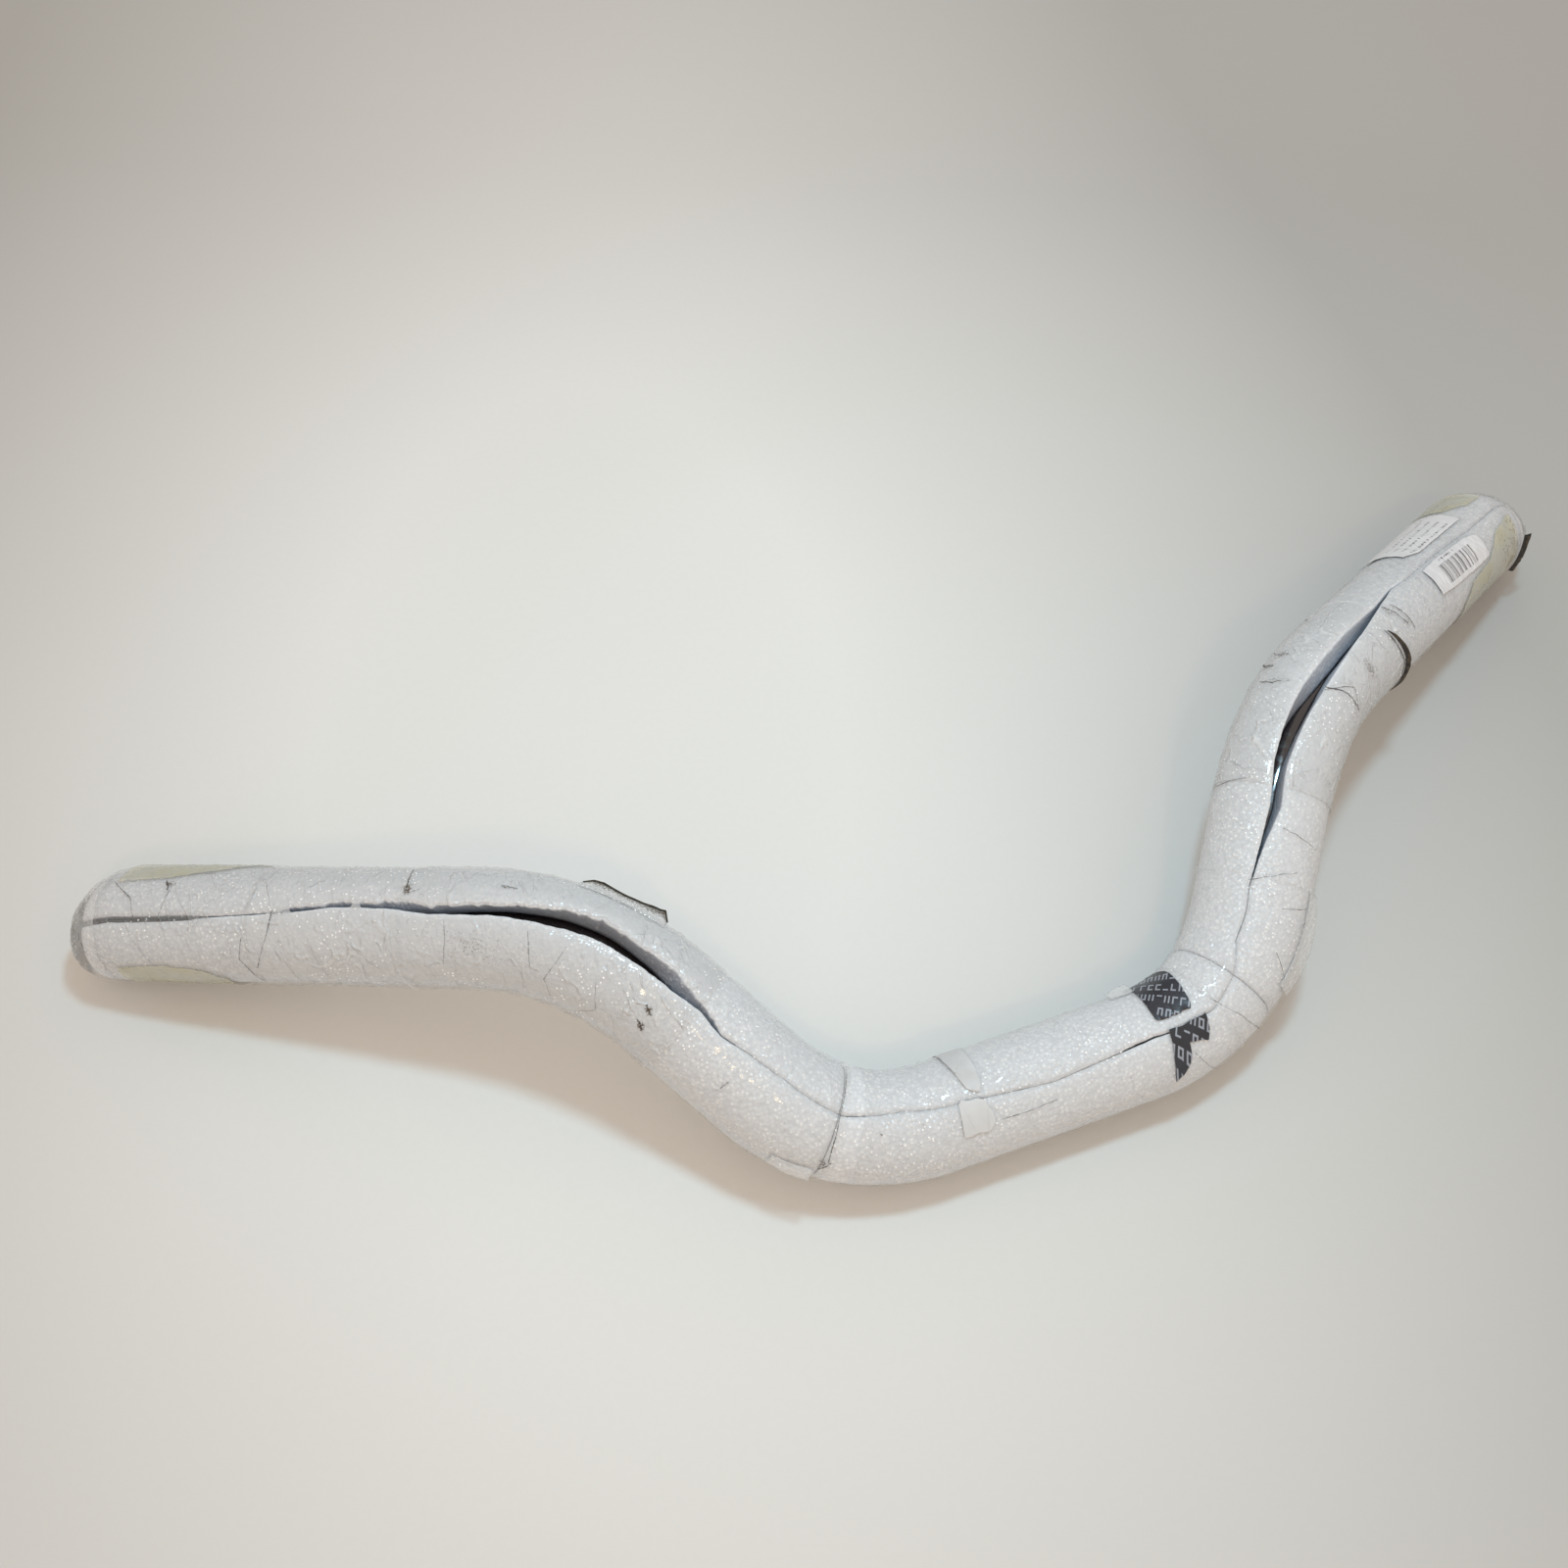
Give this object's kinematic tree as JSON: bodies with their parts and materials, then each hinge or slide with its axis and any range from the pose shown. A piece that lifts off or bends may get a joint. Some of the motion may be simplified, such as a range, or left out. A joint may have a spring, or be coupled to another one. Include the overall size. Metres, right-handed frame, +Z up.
{
  "type": "motorcycle handlebar",
  "caption": "Gloss black steel motorcycle handlebar with a low rise and swept-back grips, wrapped in slit white foam sleeves and clear tape.",
  "frame": {"origin": "on the floor under the middle of the bar's centre section, at the flat spot on which the sleeve rests", "axes": "+X along the centre section, +Y from the centre section to the grips, +Z up"},
  "size_m": [0.8562, 0.2808, 0.1064],
  "materials": {
    "tube": "gloss black paint, seen inside the slit",
    "foam": "closed-cell white foam with small glinting cells",
    "clear_tape": "clear, wrinkled, glossy packing tape with dirt along its edges",
    "bunched_tape": "several layers of clear tape bunched grey",
    "yellowed_tape": "tape yellowed with age, under clear tape",
    "label": "white paper with plain dark bars, under clear tape",
    "security_tape": "torn black tape with plain pale marks",
    "paper_tape": "torn white paper tape",
    "loose_tape": "loose folded tape with a dirty glue side"
  },
  "bodies": {
    "root": {"handlebar_tube": "tube", "foam_sleeve_left": "foam", "foam_sleeve_centre": "foam", "foam_sleeve_right": "foam", "clear_tape_left_end": "clear_tape", "clear_tape_left_grip": "clear_tape", "clear_tape_left_bend": "clear_tape", "clear_tape_left_riser": "clear_tape", "clear_tape_centre": "clear_tape", "clear_tape_right_foot": "clear_tape", "clear_tape_right_riser": "clear_tape", "clear_tape_right_bend": "clear_tape", "clear_tape_right_grip": "clear_tape", "end_closure_left": "bunched_tape", "end_closure_right": "bunched_tape", "yellowed_tape_left_back": "yellowed_tape", "yellowed_tape_left_front": "yellowed_tape", "yellowed_tape_right_back": "yellowed_tape", "yellowed_tape_right_front": "yellowed_tape", "label_back": "label", "label_front": "label", "security_tape_back": "security_tape", "security_tape_front": "security_tape", "paper_tape_back": "paper_tape", "paper_tape_front": "paper_tape", "loose_flap_left": "loose_tape", "lifted_edge_right": "loose_tape", "loose_tab_centre": "loose_tape", "loose_curl_right": "loose_tape", "loose_skirt_right": "loose_tape", "loose_corner_left": "loose_tape"}
  },
  "joints": []
}
